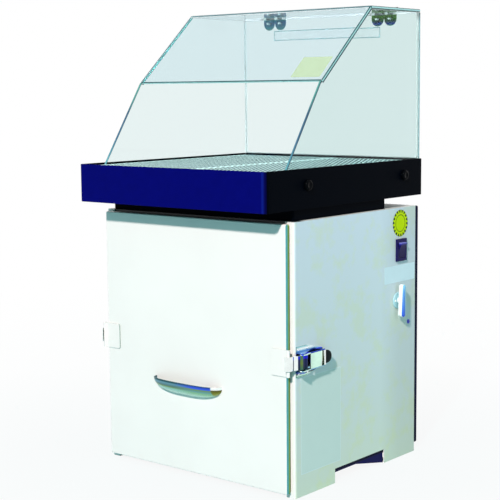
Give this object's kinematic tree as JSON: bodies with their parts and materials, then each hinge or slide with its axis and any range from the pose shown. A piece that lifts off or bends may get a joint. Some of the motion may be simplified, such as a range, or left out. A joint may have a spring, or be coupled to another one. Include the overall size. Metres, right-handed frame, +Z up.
{
  "type": "downdraft table",
  "caption": "Downdraft work table: dust collector cabinet with latched front door, perforated work tray above it and a clear lidded hood",
  "frame": {"origin": "bottom centre of the whole table at floor level, doors, lid and latches closed", "axes": "+X to the operator's right, +Y to the back, +Z up; the door faces -Y"},
  "size_m": [0.544, 0.5448, 0.9673],
  "materials": {
    "white_paint": "smooth white enamel on folded sheet steel",
    "black_paint": "black enamel",
    "navy_paint": "deep blue enamel",
    "dark_paint": "blue-black enamel",
    "bright_steel": "plain bright steel sheet",
    "chrome_plate": "bright chrome plate",
    "clear_acrylic": "clear acrylic sheet with polished edges",
    "dark_plastic": "moulded black plastic",
    "white_plastic": "moulded white plastic",
    "black_rubber": "matt black rubber",
    "filter_cloth": "pleated filter cloth",
    "motor_grey": "grey ribbed motor case"
  },
  "bodies": {
    "cabinet": {"side_panel_right": "white_paint", "side_panel_left": "white_paint", "base_pan": "dark_paint", "top_plate": "white_paint", "rear_cover": "dark_paint", "exhaust_louvre": "dark_paint", "partition": "white_paint", "fan_shelf": "bright_steel", "inlet_ring": "bright_steel", "filter_frame": "bright_steel", "filter_pleats": "filter_cloth", "motor": "motor_grey", "motor_stand": "bright_steel", "neck_duct": "black_paint", "tray_fascia": "navy_paint", "tray_rail_right": "black_paint", "tray_rail_left": "black_paint", "tray_rail_rear": "black_paint", "tray_floor": "black_paint", "ledge_front": "bright_steel", "ledge_rear": "bright_steel", "split_bar": "bright_steel", "hood_side_right": "clear_acrylic", "hood_side_left": "clear_acrylic", "hood_rear": "clear_acrylic", "hood_knob_front_right": "dark_plastic", "hood_knob_front_left": "dark_plastic", "hood_knob_rear_right": "dark_plastic", "hood_knob_rear_left": "dark_plastic", "hinge_fixed_leaf_right": "chrome_plate", "hinge_fixed_leaf_left": "chrome_plate", "hinge_pin_right": "chrome_plate", "hinge_pin_left": "chrome_plate", "latch_base_right": "chrome_plate", "latch_base_left": "chrome_plate", "switch_body": "dark_plastic", "shaker_plate": "bright_steel"},
    "lid": {"lid_top": "clear_acrylic", "lid_shield": "clear_acrylic", "hinge_moving_leaf_right": "chrome_plate", "hinge_moving_leaf_left": "chrome_plate"},
    "panel_left": {"perforated_panel_left": "bright_steel"},
    "panel_right": {"perforated_panel_right": "bright_steel"},
    "door": {"door_panel": "white_paint", "door_gasket": "black_rubber", "door_handle": "chrome_plate", "dust_pan": "bright_steel", "keeper_right": "chrome_plate", "keeper_left": "chrome_plate"},
    "lever_right": {"latch_lever_right": "chrome_plate", "lever_grip_right": "black_rubber"},
    "lever_left": {"latch_lever_left": "chrome_plate", "lever_grip_left": "black_rubber"},
    "hook_right": {"latch_hook_right": "chrome_plate"},
    "hook_left": {"latch_hook_left": "chrome_plate"},
    "rocker": {"switch_rocker": "dark_plastic"},
    "shaker": {"shaker_handle": "white_plastic", "knocker_arm": "bright_steel"},
    "fan": {"impeller": "bright_steel", "motor_shaft": "bright_steel"}
  },
  "joints": [
    {"name": "lid_hinge", "type": "hinge", "parent": "cabinet", "child": "lid", "pos_m": [0, 0.2684, 0.9633], "axis": [-1, 0, 0], "range_deg": [0, 100]},
    {"name": "panel_left_lift", "type": "slide", "parent": "cabinet", "child": "panel_left", "axis": [0, 0, 1], "range_m": [0, 0.12]},
    {"name": "panel_right_lift", "type": "slide", "parent": "cabinet", "child": "panel_right", "axis": [0, 0, 1], "range_m": [0, 0.12]},
    {"name": "door_draw", "type": "slide", "parent": "cabinet", "child": "door", "axis": [0, -1, 0], "range_m": [0, 0.0785]},
    {"name": "lever_right_pivot", "type": "hinge", "parent": "cabinet", "child": "lever_right", "pos_m": [0.2655, -0.1834, 0.271], "axis": [0, 0, -1], "range_deg": [0, 90]},
    {"name": "lever_left_pivot", "type": "hinge", "parent": "cabinet", "child": "lever_left", "pos_m": [-0.2655, -0.1834, 0.271], "axis": [0, 0, 1], "range_deg": [0, 90]},
    {"name": "hook_right_pivot", "type": "hinge", "parent": "lever_right", "child": "hook_right", "pos_m": [0.2645, -0.1704, 0.271], "axis": [0, 0, 1], "range_deg": [0, 135]},
    {"name": "hook_left_pivot", "type": "hinge", "parent": "lever_left", "child": "hook_left", "pos_m": [-0.2645, -0.1704, 0.271], "axis": [0, 0, -1], "range_deg": [0, 135]},
    {"name": "rocker_pivot", "type": "hinge", "parent": "cabinet", "child": "rocker", "pos_m": [0.2558, 0.1781, 0.4523], "axis": [0, -1, 0], "range_deg": [0, 24]},
    {"name": "shaker_turn", "type": "hinge", "parent": "cabinet", "child": "shaker", "pos_m": [0.253, 0.1676, 0.34498], "axis": [-1, 0, 0], "range_deg": [0, 35]},
    {"name": "fan_spin", "type": "hinge", "parent": "cabinet", "child": "fan", "pos_m": [0, 0.1466, 0.226], "axis": [0, 0, 1], "continuous": true}
  ],
  "couplings": [
    {"joint": "lever_right_pivot", "follows": "door_draw", "rad_per_m": 20},
    {"joint": "lever_left_pivot", "follows": "door_draw", "rad_per_m": 20},
    {"joint": "hook_right_pivot", "follows": "door_draw", "rad_per_m": 30},
    {"joint": "hook_left_pivot", "follows": "door_draw", "rad_per_m": 30}
  ]
}
